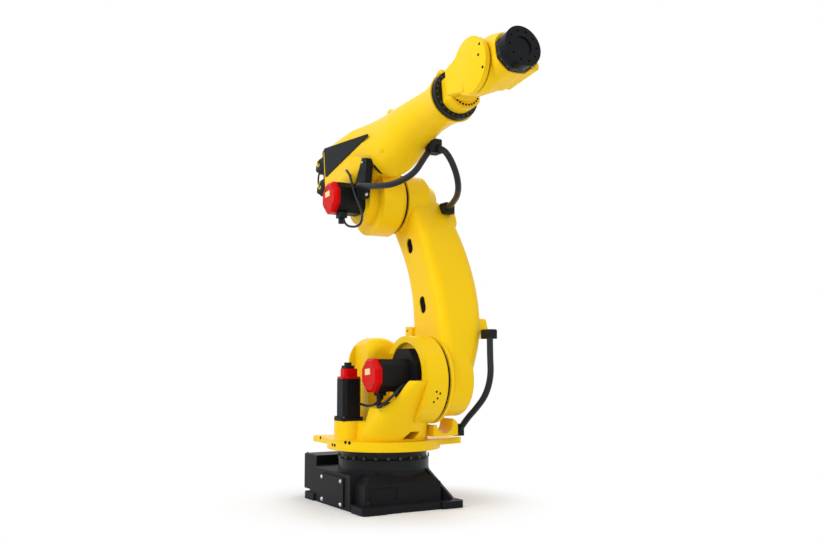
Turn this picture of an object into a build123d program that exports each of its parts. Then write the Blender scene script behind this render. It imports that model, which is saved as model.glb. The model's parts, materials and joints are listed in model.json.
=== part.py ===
from build123d import *
import os
from math import cos, hypot, pi, radians, sin, tan

# Six-axis industrial robot arm, standing on the floor on a bolted black base.
# Millimetres. Origin on the floor under the first axis, +Z up, +X the way the arm reaches,
# +Y towards the side that carries the lower arm.

os.makedirs("parts", exist_ok=True)

# Clearances
casting_gap = 10.0        # half of the slot between two castings that turn past each other
seat_gap = 0.3            # between a bearing ring and the casting that turns on it

# Base
foot_front = 382.0        # front edge of the feet, ahead of the first axis
foot_rear = 434.0         # rear edge of the feet, behind it
foot_half_width = 329.0
foot_thickness = 42.0
foot_length = 150.0       # of a corner foot, along each edge
foot_notch = 14.0         # how far the edge between two feet stands back
foot_hole_radius = 16.0
foot_hole_inset = 36.0
body_front = 318.0        # walls of the base casting
body_rear = 384.0
body_half_width = 318.0   # of the side that carries the cover
body_side_front = 195.0   # front end of that side
body_side_rear = 366.0    # its rear end, clear of the floor bolt
body_rear_half = 250.0
body_side_top = 200.0
body_front_top = 150.0
body_front_left = 285.0   # front wall, measured to each side of the first axis
body_front_right = 205.0
skirt_radius = 312.0      # of the cone under the bearing ring, at the floor
skirt_top = 216.0         # where the bearing ring sits
gusset_thickness = 36.0
gusset_height = 214.0
gusset_short = 76.0       # of the corner of the foot, clear of its bolt
window_width = 180.0      # shallow field in the front wall
window_height = 74.0
window_depth = 6.0

# Bearing ring of the first axis
ring1_radius = 270.0
ring1_height = 112.0
ring1_step = 12.0

# Connector box behind the base
box_length = 196.0
box_half_width = 266.0
box_top = 258.0
panel_thickness = 9.0
panel_margin = 22.0

# Cover on the side of the base
cover_length = 300.0
cover_height = 166.0
cover_thickness = 9.0
cover_middle_x = -28.0
cover_middle_z = 96.0
cover_hole_radius = 6.0
cover_hole_inset = 20.0

# Turret
disc_radius = 338.0
disc_thickness = 56.0
ear_thickness = 34.0
ear_tip_radius = 36.0
shoulder_x = 283.0        # second axis, ahead of the first
shoulder_z = 734.0        # second axis, above the floor
shoulder_radius = 253.0
shoulder_seam = 135.0     # Y of the plane between the turret and the lower arm
shoulder_inner = -10.0    # Y of the open face of the turret boss
pedestal_top = 560.0
recess_radius = 186.0
recess_floor = 20.0       # Y of the seat of the second motor
hump_half_width = 150.0
hump_top = 985.0
hump_rear = -205.0
hump_front = 40.0
hump_middle = -14.0       # Y of its centre

# Upright motor of the first axis
motor1_x = 32.0
motor1_y = -250.0
motor1_seat = 497.0
motor1_half = 58.0
motor1_length = 243.0
motor1_cap = 58.0
pad1_radius = 84.0

# Level motor of the second axis
motor2_z = 762.0
motor2_half = 92.0
motor2_length = 182.0
motor2_cap = 38.0
adaptor_radius = 152.0
adaptor_thickness = 50.0

# Lower arm
elbow_x = -130.0          # third axis
elbow_z = 1836.0
elbow_radius = 190.0
arm_outer = 322.0         # Y of the outer face of the end bosses
shoulder_cheek = 214.0    # radius of the outer part of the shoulder boss
pad_rise = 34.0           # of the hose pads on the outer side
ring_land = 15.0          # how far a bearing ring stands inside its boss

# Forearm
forearm_tilt = 7.6        # degrees above level in the stored pose
wrist_x = 808.0           # centre of the fourth axis ring
wrist_z = 2280.0
ring4_radius = 137.0
ring4_thickness = 36.0
barrel_radius = 212.0
barrel_near = -40.0       # Y of the near end of the elbow barrel
seat3_radius = 148.0      # seat of the third motor
seat3_near = -110.0
side_near = -172.0        # Y of the flat side of the forearm
motor3_half = 92.0
motor3_length = 172.0
motor3_cap = 38.0
cover_plate = 10.0
fore_rear = 1340.0         # station of the flat rear end
panel_corners = ((-515, 2238), (160, 2196), (-487, 2040))
side_panel_thickness = 6.0
bracket_corners = ((56, 2063), (118, 2051), (97, 1906), (59, 1818), (0, 1818), (-30, 1930))
bracket_thickness = 12.0
bracket_foot = 34.0       # of the bracket, in to the rounded side of the forearm
lug_places = ((-62, -40, 142), (-640, -40, 136), (-1290, -84, 150))
lug_radius = 24.0
lug_thickness = 18.0
hose_diameter = 37.0
rear_motor_half = 54.0
rear_motor_length = 100.0
rear_motor_nose = 26.0

# Wrist
bend_distance = 347.0     # fourth axis ring to the fifth axis
bend_radius = 142.0
cheek_radius = 149.0      # of the domed cheek on the near side
cheek_edge = 26.0
bend_swing = 206.0        # radius that the wrist housing sweeps about the fifth axis
bend_seam = -104.0        # Y of the plane between the two halves of the wrist
bend_gap = 6.0            # half of the slot there
bend_disc = 38.0          # full height of the domed cheek
neck_radius = 76.0
neck_far = -60.0          # Y of the far side of the neck
hub_length = 99.0
hub_radius = 110.0
hub_flat = 92.0
tool_distance = 277.0     # fifth axis to the face of the tool flange
tool_tilt = 9.2           # degrees above level in the stored pose
far_radius = 78.0         # of the far side of the wrist housing
housing_far = 104.0       # Y of the far side of the wrist housing
lug_reach = 246.0         # gear cover under the nose
tool_ring_start = 190.0
tool_ring_thickness = 36.0
tool_ring_radius = 101.0  # across flats, halved
tool_radius = 106.0
tool_bolt_circle = 160.0
tool_bolts = 10
tool_bolt_hole = 6.0
tool_bore_radius = 50.0
tool_bore_depth = 8.0

# Derived levels and frames
ring1_top = skirt_top + ring1_height
disc_bottom = ring1_top + seat_gap
disc_top = disc_bottom + disc_thickness
turret_face = shoulder_seam - casting_gap
arm_face = shoulder_seam + casting_gap
box_rear = -(body_rear + box_length)
box_floor = foot_thickness

arm_up = Vector(elbow_x - shoulder_x, 0, elbow_z - shoulder_z).normalized()
arm_ahead = Vector(arm_up.Z, 0, -arm_up.X)
fore_dir = Vector(cos(radians(forearm_tilt)), 0, sin(radians(forearm_tilt)))
fore_up = Vector(-sin(radians(forearm_tilt)), 0, cos(radians(forearm_tilt)))
ring4_centre = Vector(wrist_x, 0, wrist_z)
bend_centre = ring4_centre + fore_dir * bend_distance
tool_dir = Vector(cos(radians(tool_tilt)), 0, sin(radians(tool_tilt)))


def side_plane(y, x=0.0, z=0.0):
    """Plane square to the Y axis, facing -Y, with its centre at x and z."""
    return Plane(origin=(x, y, z), x_dir=(1, 0, 0), z_dir=(0, -1, 0))


def arm_plane(station):
    """Plane across the lower arm, facing the elbow, with +Y as its own x."""
    centre = Vector(shoulder_x, 0, shoulder_z) + arm_up * station
    return Plane(origin=centre, x_dir=(0, 1, 0), z_dir=arm_up)


def fore_plane(station):
    """Plane across the forearm, facing the wrist, with its own y upwards."""
    return Plane(origin=ring4_centre + fore_dir * station, x_dir=(0, 1, 0), z_dir=fore_dir)


def tool_plane(station):
    """Plane across the sixth axis, facing the tool, with its own y upwards."""
    return Plane(origin=bend_centre + tool_dir * station, x_dir=(0, 1, 0), z_dir=tool_dir)


# Base

with BuildPart() as base_casting:
    with BuildSketch() as sole:
        with Locations(((foot_front - foot_rear) / 2, 0)):
            Rectangle(foot_front + foot_rear, 2 * foot_half_width)
        fillet(sole.vertices(), 26)
        span_x = foot_front + foot_rear - 2 * foot_length
        span_y = 2 * (foot_half_width - foot_length)
        with Locations(
            ((foot_front - foot_rear) / 2, foot_half_width),
            ((foot_front - foot_rear) / 2, -foot_half_width),
        ):
            Rectangle(span_x, 2 * foot_notch, mode=Mode.SUBTRACT)
        with Locations((foot_front, 0)):
            Rectangle(2 * foot_notch, span_y, mode=Mode.SUBTRACT)
    extrude(amount=foot_thickness)
    with BuildSketch():
        Circle(skirt_radius)
    with BuildSketch(Plane.XY.offset(skirt_top)):
        Circle(ring1_radius)
    loft()
    with BuildSketch():
        with Locations(((body_side_front - body_side_rear) / 2, -body_half_width / 2)):
            Rectangle(body_side_front + body_side_rear, body_half_width)
    extrude(amount=body_side_top)
    with BuildSketch():
        with Locations((-body_rear * 3 / 4, 0)):
            Rectangle(body_rear / 2, 2 * body_rear_half)
    extrude(amount=body_side_top)
    with BuildSketch():
        with Locations((body_front / 2, (body_front_right - body_front_left) / 2)):
            Rectangle(body_front, body_front_left + body_front_right)
    extrude(amount=body_front_top)
    with BuildSketch(Plane.XY.offset(body_front_top)):
        with Locations((body_front / 2, (body_front_right - body_front_left) / 2)):
            Rectangle(body_front, body_front_left + body_front_right)
    with BuildSketch(Plane.XY.offset(body_side_top)):
        with Locations((body_front / 2 - 30, (body_front_right - body_front_left) / 2)):
            Rectangle(body_front - 60, body_front_left + body_front_right - 130)
    loft()
    for corner_x in (foot_front, -foot_rear):
        for corner_y in (-foot_half_width, foot_half_width):
            reach = hypot(corner_x, corner_y)
            out = Vector(corner_x, corner_y, 0).normalized()
            across = Plane(origin=(0, 0, 0), x_dir=out, z_dir=out.cross(Vector(0, 0, 1)))
            with BuildSketch(across):
                with BuildLine():
                    Polyline(
                        (ring1_radius - 40, 0),
                        (reach - gusset_short, 0),
                        (reach - gusset_short, foot_thickness + 14),
                        (ring1_radius + 8, gusset_height),
                        (ring1_radius - 40, gusset_height),
                        close=True,
                    )
                make_face()
            extrude(amount=gusset_thickness / 2, both=True)
    with Locations(
        *[
            (x, y, foot_thickness)
            for x in (foot_front - foot_hole_inset, -(foot_rear - foot_hole_inset))
            for y in (-(foot_half_width - foot_hole_inset), foot_half_width - foot_hole_inset)
        ]
    ):
        Hole(foot_hole_radius, depth=foot_thickness)
    with BuildSketch(Plane(origin=(body_front, 0, 0), x_dir=(0, 1, 0), z_dir=(1, 0, 0))):
        with Locations((-body_front_left + window_width / 2 + 24, body_front_top - window_height / 2 - 14)):
            RectangleRounded(window_width, window_height, 10)
    extrude(amount=-window_depth, mode=Mode.SUBTRACT)
base_casting.part.label = "base_casting"
export_step(base_casting.part, "parts/base_casting.step")

with BuildPart() as base_ring:
    with BuildSketch(Plane.XZ):
        with BuildLine():
            Polyline(
                (0, skirt_top),
                (ring1_radius, skirt_top),
                (ring1_radius, skirt_top + ring1_height / 2),
                (ring1_radius - ring1_step, skirt_top + ring1_height / 2 + ring1_step),
                (ring1_radius - ring1_step, ring1_top),
                (0, ring1_top),
                close=True,
            )
        make_face()
    revolve(axis=Axis.Z)
base_ring.part.label = "base_ring"
export_step(base_ring.part, "parts/base_ring.step")

with BuildPart() as connector_box:
    with BuildSketch(Plane.XY.offset(box_floor)):
        with Locations((-(body_rear + box_length / 2), 0)):
            Rectangle(box_length, 2 * box_half_width)
    extrude(amount=box_top - box_floor)
    fillet(connector_box.edges().filter_by(Axis.Z).group_by(Axis.X)[0], 14)
    fillet(connector_box.faces().sort_by(Axis.Z)[-1].edges().group_by(Axis.X)[0], 8)
    with BuildSketch(Plane.XY):
        Circle(ring1_radius + 22)
    extrude(amount=box_top + 40, mode=Mode.SUBTRACT)
connector_box.part.label = "connector_box"
export_step(connector_box.part, "parts/connector_box.step")

with BuildPart() as connector_panel:
    with BuildSketch(Plane(origin=(box_rear, 0, (box_floor + box_top) / 2), x_dir=(0, -1, 0), z_dir=(-1, 0, 0))):
        RectangleRounded(
            2 * (box_half_width - panel_margin), box_top - box_floor - 2 * panel_margin, 12
        )
    extrude(amount=panel_thickness)
connector_panel.part.label = "connector_panel"
export_step(connector_panel.part, "parts/connector_panel.step")

with BuildPart() as base_side_cover:
    with BuildSketch(side_plane(-body_half_width, cover_middle_x, cover_middle_z)):
        RectangleRounded(cover_length, cover_height, 8)
        with GridLocations(
            cover_length - 2 * cover_hole_inset, cover_height - 2 * cover_hole_inset, 2, 2
        ):
            Circle(cover_hole_radius, mode=Mode.SUBTRACT)
    extrude(amount=cover_thickness)
base_side_cover.part.label = "base_side_cover"
export_step(base_side_cover.part, "parts/base_side_cover.step")

# Turret

left_ear = (-348, -266)
right_ear = (172, 398)
ear_bottom = disc_top - ear_thickness
bracket_left = 150.0      # U-shaped bracket under the lower arm, in Y
bracket_right = 318.0
bracket_back = 190.0
bracket_front = 330.0
bracket_slot = 54.0       # radius of its open round
bracket_top = 508.0
bracket_bottom = 408.0     # of its free outer part
side_hole = ((-45, 398), (-5, 441), (60, 441), (30, 398))

with BuildPart() as turret_casting:
    with BuildSketch(Plane(origin=(hump_rear, 0, 0), x_dir=(0, 1, 0), z_dir=(1, 0, 0))):
        with Locations((hump_middle, hump_top - hump_half_width)):
            Circle(hump_half_width)
        with Locations((hump_middle, (disc_top + hump_top - hump_half_width) / 2)):
            Rectangle(2 * hump_half_width, hump_top - hump_half_width - disc_top)
    extrude(amount=hump_front - hump_rear)
    fillet(turret_casting.faces().sort_by(Axis.X)[0].edges().group_by(Axis.Z)[1:], 70)
    fillet(turret_casting.faces().sort_by(Axis.X)[-1].edges().group_by(Axis.Z)[1:], 70)
    with BuildSketch(Plane.XY.offset(disc_bottom)):
        Circle(disc_radius)
    extrude(amount=disc_thickness)
    for ear in (left_ear, right_ear):
        with BuildSketch(Plane.XY.offset(ear_bottom)):
            Circle(disc_radius - 40)
            with Locations(ear):
                Circle(ear_tip_radius)
            make_hull()
        extrude(amount=ear_thickness)
    with BuildSketch(Plane.XY.offset(disc_top - 1)):
        with Locations((20, -15)):
            RectangleRounded(560, 450, 190)
    with BuildSketch(Plane.XY.offset(pedestal_top)):
        with Locations((120, (turret_face - 205) / 2)):
            RectangleRounded(580, turret_face + 205, 120)
    with BuildSketch(Plane.XY.offset(shoulder_z)):
        with Locations((shoulder_x + 30, (turret_face - 90) / 2)):
            RectangleRounded(2 * (shoulder_radius - 34), turret_face + 90, 70)
    loft()
    with BuildSketch(side_plane(turret_face, shoulder_x, shoulder_z)):
        Circle(shoulder_radius)
    extrude(amount=turret_face - shoulder_inner)
    with BuildSketch(Plane.XY.offset(disc_top)):
        with Locations((motor1_x, motor1_y)):
            Circle(pad1_radius)
        with Locations((motor1_x + 10, motor1_y + 80)):
            Rectangle(150, 160)
    extrude(amount=motor1_seat - disc_top)
    with BuildSketch(side_plane(recess_floor, shoulder_x, motor2_z)):
        Circle(recess_radius)
        with Locations((-(shoulder_x - hump_front) / 2, -33)):
            Rectangle(shoulder_x - hump_front, 2 * (recess_radius - 33))
    extrude(amount=420, mode=Mode.SUBTRACT)
    with BuildSketch(Plane.XY.offset(motor1_seat)):
        with Locations((motor1_x, motor1_y)):
            Rectangle(4 * pad1_radius, 3 * pad1_radius)
    extrude(amount=500, mode=Mode.SUBTRACT)
    with BuildSketch(Plane(origin=(bracket_back, 0, 0), x_dir=(0, 1, 0), z_dir=(1, 0, 0))) as bracket:
        with Locations(((bracket_left + bracket_right) / 2, (bracket_bottom + bracket_top) / 2)):
            Rectangle(bracket_right - bracket_left, bracket_top - bracket_bottom)
        fillet(bracket.vertices().group_by(Axis.Z)[0].sort_by(Axis.Y)[-1], 48)
        with Locations((bracket_right - 37 - bracket_slot, bracket_top - 30)):
            Circle(bracket_slot, mode=Mode.SUBTRACT)
        with Locations((bracket_right - 37 - bracket_slot, bracket_top)):
            Rectangle(2 * bracket_slot, 60, mode=Mode.SUBTRACT)
    extrude(amount=bracket_front - bracket_back)
    with BuildSketch(Plane(origin=(bracket_back, 0, 0), x_dir=(0, 1, 0), z_dir=(1, 0, 0))):
        with BuildLine():
            Polyline(*side_hole, close=True)
        make_face()
    extrude(amount=400, mode=Mode.SUBTRACT)
    for cheek_y, cheek_radius_here in (
        (arm_outer + casting_gap, shoulder_cheek),
        (arm_face + 60, shoulder_radius),
    ):
        with BuildSketch(side_plane(cheek_y, shoulder_x, shoulder_z)):
            Circle(cheek_radius_here + casting_gap)
        extrude(amount=cheek_y - turret_face, mode=Mode.SUBTRACT)
turret_casting.part.label = "turret_casting"
export_step(turret_casting.part, "parts/turret_casting.step")

with BuildPart() as shoulder_ring:
    with BuildSketch(side_plane(arm_face - seat_gap, shoulder_x, shoulder_z)):
        Circle(shoulder_radius - ring_land)
    extrude(amount=arm_face - seat_gap - turret_face)
shoulder_ring.part.label = "shoulder_ring"
export_step(shoulder_ring.part, "parts/shoulder_ring.step")

with BuildPart() as motor1_body:
    with BuildSketch(Plane.XY.offset(motor1_seat)):
        with Locations((motor1_x, motor1_y)):
            RectangleRounded(2 * motor1_half + 24, 2 * motor1_half + 24, 26)
    extrude(amount=18)
    with BuildSketch(Plane.XY.offset(motor1_seat + 18)) as motor1_section:
        with Locations((motor1_x, motor1_y)):
            Rectangle(2 * motor1_half, 2 * motor1_half)
        chamfer(motor1_section.vertices(), 20)
    extrude(amount=motor1_length - 18)
motor1_body.part.label = "motor1_body"
export_step(motor1_body.part, "parts/motor1_body.step")

with BuildPart() as motor1_cap_piece:
    with BuildSketch(Plane.XY.offset(motor1_seat + motor1_length)) as cap1_section:
        with Locations((motor1_x, motor1_y)):
            Rectangle(2 * motor1_half, 2 * motor1_half)
        chamfer(cap1_section.vertices(), 24)
    extrude(amount=12)
    with BuildSketch(Plane.XY.offset(motor1_seat + motor1_length + 12)):
        with Locations((motor1_x, motor1_y)):
            RectangleRounded(84, 84, 20)
    extrude(amount=motor1_cap - 12)
motor1_cap_piece.part.label = "motor1_cap"
export_step(motor1_cap_piece.part, "parts/motor1_cap.step")

with BuildPart() as motor2_adaptor:
    with BuildSketch(side_plane(recess_floor, shoulder_x, motor2_z)):
        RegularPolygon(adaptor_radius, 8, major_radius=False, rotation=22.5)
    extrude(amount=adaptor_thickness)
motor2_adaptor.part.label = "motor2_adaptor"
export_step(motor2_adaptor.part, "parts/motor2_adaptor.step")

motor2_start = recess_floor - adaptor_thickness

with BuildPart() as motor2_body:
    with BuildSketch(side_plane(motor2_start, shoulder_x, motor2_z)) as motor2_section:
        Rectangle(2 * motor2_half, 2 * motor2_half)
        chamfer(motor2_section.vertices(), 34)
    extrude(amount=motor2_length)
motor2_body.part.label = "motor2_body"
export_step(motor2_body.part, "parts/motor2_body.step")

with BuildPart() as motor2_cap_piece:
    with BuildSketch(side_plane(motor2_start - motor2_length, shoulder_x, motor2_z)):
        RegularPolygon(motor2_half + 4, 8, major_radius=False, rotation=22.5)
    extrude(amount=motor2_cap)
    chamfer(motor2_cap_piece.faces().sort_by(Axis.Y)[0].edges(), 16)
motor2_cap_piece.part.label = "motor2_cap"
export_step(motor2_cap_piece.part, "parts/motor2_cap.step")

# Lower arm

arm_stations = (-130, 20, 160, 380, 650, 900, 1090, 1180)
arm_inner = (156, 152, 154, 168, 172, 168, 154, 154)
arm_outers = (318, 372, 430, 480, 494, 474, 430, 372)
arm_depths = (310, 400, 400, 350, 300, 305, 300, 250)
arm_bows = (0, 0, 18, 50, 66, 42, 12, 0)
access_holes = ((860, 0, 98), (455, 14, 108))
hose_pads = ((268, 146, 430), (1012, 106, 404))


def arm_point(station, ahead, y):
    """Point at a station of the lower arm, ahead of its axis line, at height y on the side."""
    place = Vector(shoulder_x, 0, shoulder_z) + arm_up * station + arm_ahead * ahead
    return Vector(place.X, y, place.Z)


with BuildPart() as lower_arm_casting:
    for station, inner, outer, depth, bow in zip(
        arm_stations, arm_inner, arm_outers, arm_depths, arm_bows
    ):
        with BuildSketch(arm_plane(station)):
            with Locations(((inner + outer) / 2, -bow)):
                RectangleRounded(outer - inner, depth, 64)
    loft()
    with BuildSketch(side_plane(arm_outer, shoulder_x, shoulder_z)):
        Circle(shoulder_cheek)
    extrude(amount=arm_outer - arm_face - 20)
    with BuildSketch(side_plane(arm_face + 20, shoulder_x, shoulder_z)):
        Circle(shoulder_radius)
    extrude(amount=20)
    with BuildSketch(side_plane(arm_face + 52, shoulder_x, shoulder_z)):
        Circle(shoulder_cheek)
    with BuildSketch(side_plane(arm_face + 20, shoulder_x, shoulder_z)):
        Circle(shoulder_radius)
    loft()
    with BuildSketch(side_plane(arm_outer - 26, elbow_x, elbow_z)):
        Circle(elbow_radius)
    extrude(amount=arm_outer - 26 - arm_face)
    with BuildSketch(side_plane(arm_outer - 26, elbow_x, elbow_z)):
        Circle(elbow_radius)
    with BuildSketch(side_plane(arm_outer + 52, elbow_x, elbow_z)):
        Circle(0.72 * elbow_radius)
    loft()
    for station, ahead, level in hose_pads:
        with BuildSketch(Plane(origin=arm_point(station, ahead, level), x_dir=arm_ahead, z_dir=(0, 1, 0))):
            RectangleRounded(118, 104, 30)
        extrude(amount=32 + pad_rise)
    for station, ahead, tall in access_holes:
        with BuildSketch(
            Plane(origin=arm_point(station, ahead + 40, arm_face - 20), x_dir=arm_up, z_dir=(0, 1, 0))
        ):
            SlotOverall(tall, 62)
        extrude(amount=110, mode=Mode.SUBTRACT)
lower_arm_casting.part.label = "lower_arm_casting"
export_step(lower_arm_casting.part, "parts/lower_arm_casting.step")

with BuildPart() as elbow_ring:
    with BuildSketch(side_plane(arm_face, elbow_x, elbow_z)):
        Circle(elbow_radius - ring_land)
    extrude(amount=arm_face - turret_face - seat_gap)
elbow_ring.part.label = "elbow_ring"
export_step(elbow_ring.part, "parts/elbow_ring.step")

# Forearm

fore_half = ring4_thickness / 2
barrel_far = turret_face

side_middle = (barrel_far + side_near) / 2
side_width = barrel_far - side_near

# Sections of the forearm: station from the wrist ring, centre in Y, top, bottom and width
tube_sections = (
    (-fore_half, 0, ring4_radius + 8, -ring4_radius - 8, 2 * ring4_radius + 16),
    (-76, 0, 131, -131, 262),
    (-210, 0, 122, -122, 244),
    (-335, 0, 129, -131, 260),
    (-470, -5, 136, -180, 278),
    (-660, side_middle, 138, -246, side_width - 20),
    (-976, side_middle, 150, -230, side_width - 4),
)

with BuildPart() as forearm_casting:
    for station, middle, high, low, width in tube_sections:
        with BuildSketch(fore_plane(station)):
            with Locations((middle, (high + low) / 2)):
                Ellipse(width / 2, (high - low) / 2)
    loft()
    with BuildSketch(fore_plane(-400)):
        with Locations((0, -20)):
            RectangleRounded(190, 210, 90)
    with BuildSketch(fore_plane(-976)):
        with Locations((side_middle, -40)):
            RectangleRounded(side_width, 384, 80)
    loft()
    with BuildSketch(fore_plane(-976)):
        with Locations((side_middle, -40)):
            RectangleRounded(side_width, 384, 80)
    with BuildSketch(fore_plane(-fore_rear)):
        with Locations((side_middle, -12)):
            RectangleRounded(side_width, 304, 34)
    loft()
    with BuildSketch(side_plane(barrel_far, elbow_x, elbow_z)):
        Circle(elbow_radius)
    with BuildSketch(side_plane(barrel_far - 26, elbow_x, elbow_z)):
        Circle(barrel_radius)
    loft()
    with BuildSketch(side_plane(barrel_far - 26, elbow_x, elbow_z)):
        Circle(barrel_radius)
    extrude(amount=barrel_far - 26 - barrel_near)
    with BuildSketch(side_plane(barrel_near, elbow_x, elbow_z)):
        Circle(seat3_radius)
    extrude(amount=barrel_near - seat3_near)
    with BuildSketch(side_plane(seat3_near, elbow_x, elbow_z)):
        Rectangle(2 * motor3_half + 8, 2 * motor3_half + 8)
    extrude(amount=400, mode=Mode.SUBTRACT)
    with BuildSketch(side_plane(barrel_far + 40, elbow_x, elbow_z)):
        Circle(elbow_radius + 60)
    extrude(amount=40, mode=Mode.SUBTRACT)
    with BuildSketch(side_plane(side_near, elbow_x, elbow_z + barrel_radius)):
        Rectangle(fore_rear, fore_rear)
    extrude(amount=40, mode=Mode.SUBTRACT)
forearm_casting.part.label = "forearm_casting"
export_step(forearm_casting.part, "parts/forearm_casting.step")

with BuildPart() as wrist_ring:
    with BuildSketch(fore_plane(-fore_half)):
        Circle(ring4_radius)
    extrude(amount=ring4_thickness)
wrist_ring.part.label = "wrist_ring"
export_step(wrist_ring.part, "parts/wrist_ring.step")

with BuildPart() as rear_plate:
    with BuildSketch(fore_plane(-fore_rear)):
        with Locations((side_middle, -11.5)):
            RectangleRounded(side_width + 6, 313, 36)
    extrude(amount=-cover_plate)
rear_plate.part.label = "rear_plate"
export_step(rear_plate.part, "parts/rear_plate.step")

rear_places = ((-118, 52), (-118, -100), (52, -24))

for index, (across, above) in enumerate(rear_places, start=4):
    with BuildPart() as rear_motor:
        with BuildSketch(fore_plane(-fore_rear - cover_plate)) as rear_section:
            with Locations((across, above)):
                Rectangle(2 * rear_motor_half, 2 * rear_motor_half)
            chamfer(rear_section.vertices(), 20)
        extrude(amount=-rear_motor_length)
        with BuildSketch(fore_plane(-fore_rear - cover_plate - rear_motor_length)):
            with Locations((across, above)):
                Circle(rear_motor_half - 10)
        extrude(amount=-rear_motor_nose)
    rear_motor.part.label = f"motor{index}_body"
    export_step(rear_motor.part, f"parts/motor{index}_body.step")

with BuildPart() as motor3_body:
    with BuildSketch(side_plane(seat3_near, elbow_x, elbow_z)) as motor3_section:
        Rectangle(2 * motor3_half, 2 * motor3_half)
        chamfer(motor3_section.vertices(), 34)
    extrude(amount=motor3_length)
motor3_body.part.label = "motor3_body"
export_step(motor3_body.part, "parts/motor3_body.step")

with BuildPart() as motor3_cap_piece:
    with BuildSketch(side_plane(seat3_near - motor3_length, elbow_x, elbow_z)):
        RegularPolygon(motor3_half + 4, 8, major_radius=False, rotation=22.5)
    extrude(amount=motor3_cap)
    chamfer(motor3_cap_piece.faces().sort_by(Axis.Y)[0].edges(), 16)
motor3_cap_piece.part.label = "motor3_cap"
export_step(motor3_cap_piece.part, "parts/motor3_cap.step")

# Cable connectors of the motors

def connector_block(name, place, width, depth, height):
    """Write a rounded connector that stands on the point place, with a round cable exit on top."""
    with BuildPart() as block:
        with BuildSketch(place):
            RectangleRounded(width, depth, 8)
        extrude(amount=height)
        with BuildSketch(place.offset(height)):
            Circle(min(width, depth) / 2 - 6)
        extrude(amount=height)
    block.part.label = name
    export_step(block.part, f"parts/{name}.step")


connector_block(
    "motor1_connector",
    Plane(origin=(motor1_x - 14, motor1_y, motor1_seat + motor1_length + motor1_cap), z_dir=(0, 0, 1)),
    70, 56, 18,
)
connector_block(
    "motor2_connector",
    Plane(
        origin=(shoulder_x, motor2_start - motor2_length + 36, motor2_z - motor2_half),
        x_dir=(1, 0, 0), z_dir=(0, 0, -1),
    ),
    64, 52, 22,
)
connector_block(
    "motor3_connector",
    Plane(
        origin=(elbow_x + 42, seat3_near - motor3_length + 34, elbow_z - motor3_half),
        x_dir=(1, 0, 0), z_dir=(0, 0, -1),
    ),
    64, 52, 34,
)
for index, (across, above) in enumerate(rear_places, start=4):
    end_plane = fore_plane(-fore_rear - cover_plate - rear_motor_length - rear_motor_nose)
    place = end_plane.origin + end_plane.x_dir * (across - 16) + end_plane.y_dir * above
    connector_block(
        f"motor{index}_connector",
        Plane(origin=place, x_dir=(0, 1, 0), z_dir=-fore_dir),
        48, 48, 20,
    )

with BuildPart() as cable_tray:
    with BuildSketch(Plane(origin=(shoulder_x, recess_floor, 0), x_dir=(1, 0, 0), z_dir=(0, -1, 0))):
        with Locations((0, motor2_z - adaptor_radius - 16)):
            Rectangle(126, 8)
        with Locations((-59, motor2_z - adaptor_radius - 12), (59, motor2_z - adaptor_radius - 12)):
            Rectangle(8, 16)
    extrude(amount=190)
cable_tray.part.label = "cable_tray"
export_step(cable_tray.part, "parts/cable_tray.step")

# Pieces on the near side of the forearm

with BuildPart() as side_panel:
    with BuildSketch(side_plane(side_near)) as panel_outline:
        with BuildLine():
            Polyline(*panel_corners, close=True)
        make_face()
        fillet(panel_outline.vertices(), 8)
    extrude(amount=side_panel_thickness)
side_panel.part.label = "side_panel"
export_step(side_panel.part, "parts/side_panel.step")

with BuildPart() as motor_bracket:
    with BuildSketch(side_plane(side_near + bracket_foot)) as bracket_outline:
        with BuildLine():
            Polyline(*bracket_corners, close=True)
        make_face()
        fillet(bracket_outline.vertices(), 10)
    extrude(amount=bracket_foot + bracket_thickness)
    with BuildSketch(side_plane(side_near + bracket_foot)):
        with Locations((44, 1905), (70, 2030)):
            Circle(9)
    extrude(amount=bracket_foot + bracket_thickness, mode=Mode.SUBTRACT)
    add(forearm_casting.part, mode=Mode.SUBTRACT)
motor_bracket.part.label = "motor_bracket"
export_step(motor_bracket.part, "parts/motor_bracket.step")

with BuildPart() as lifting_lugs:
    for station, across, level in lug_places:
        foot = ring4_centre + fore_dir * station + fore_up * level
        with BuildSketch(
            Plane(origin=(foot.X, across + lug_thickness / 2, foot.Z), x_dir=fore_dir, z_dir=(0, -1, 0))
        ):
            SlotOverall(2 * lug_radius + 20, 2 * lug_radius)
            Circle(lug_radius / 2.4, mode=Mode.SUBTRACT)
        extrude(amount=lug_thickness)
    add(forearm_casting.part, mode=Mode.SUBTRACT)
lifting_lugs.part.label = "lifting_lugs"
export_step(lifting_lugs.part, "parts/lifting_lugs.step")

with BuildPart() as stop_block:
    with BuildSketch(side_plane(206, 38, 1018)):
        RectangleRounded(78, 64, 10)
        with Locations((-16, 8)):
            SlotOverall(26, 9, mode=Mode.SUBTRACT)
    extrude(amount=54)
    add(lower_arm_casting.part, mode=Mode.SUBTRACT)
stop_block.part.label = "stop_block"
export_step(stop_block.part, "parts/stop_block.step")

# Hoses, each along straight runs joined by arcs, and the blocks that hold their ends

shoulder_route = (
    (496, 436, 972), (511, 426, 865), (538, 412, 757), (508, 398, 648), (424, 384, 566),
    (346, 372, 506), (292, 362, 446),
)
elbow_route = (
    (450, 98, 2080), (520, 102, 2058), (560, 124, 2002), (556, 170, 1918), (500, 222, 1852),
    (412, 270, 1818), (300, 318, 1806), (200, 358, 1800), (112, 390, 1796),
)
forearm_route = (
    (62, -206, 1890), (190, -207, 1866), (320, -196, 1845), (430, -165, 1840), (510, -85, 1892),
    (490, -10, 1990), (432, 62, 2058),
)


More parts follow.
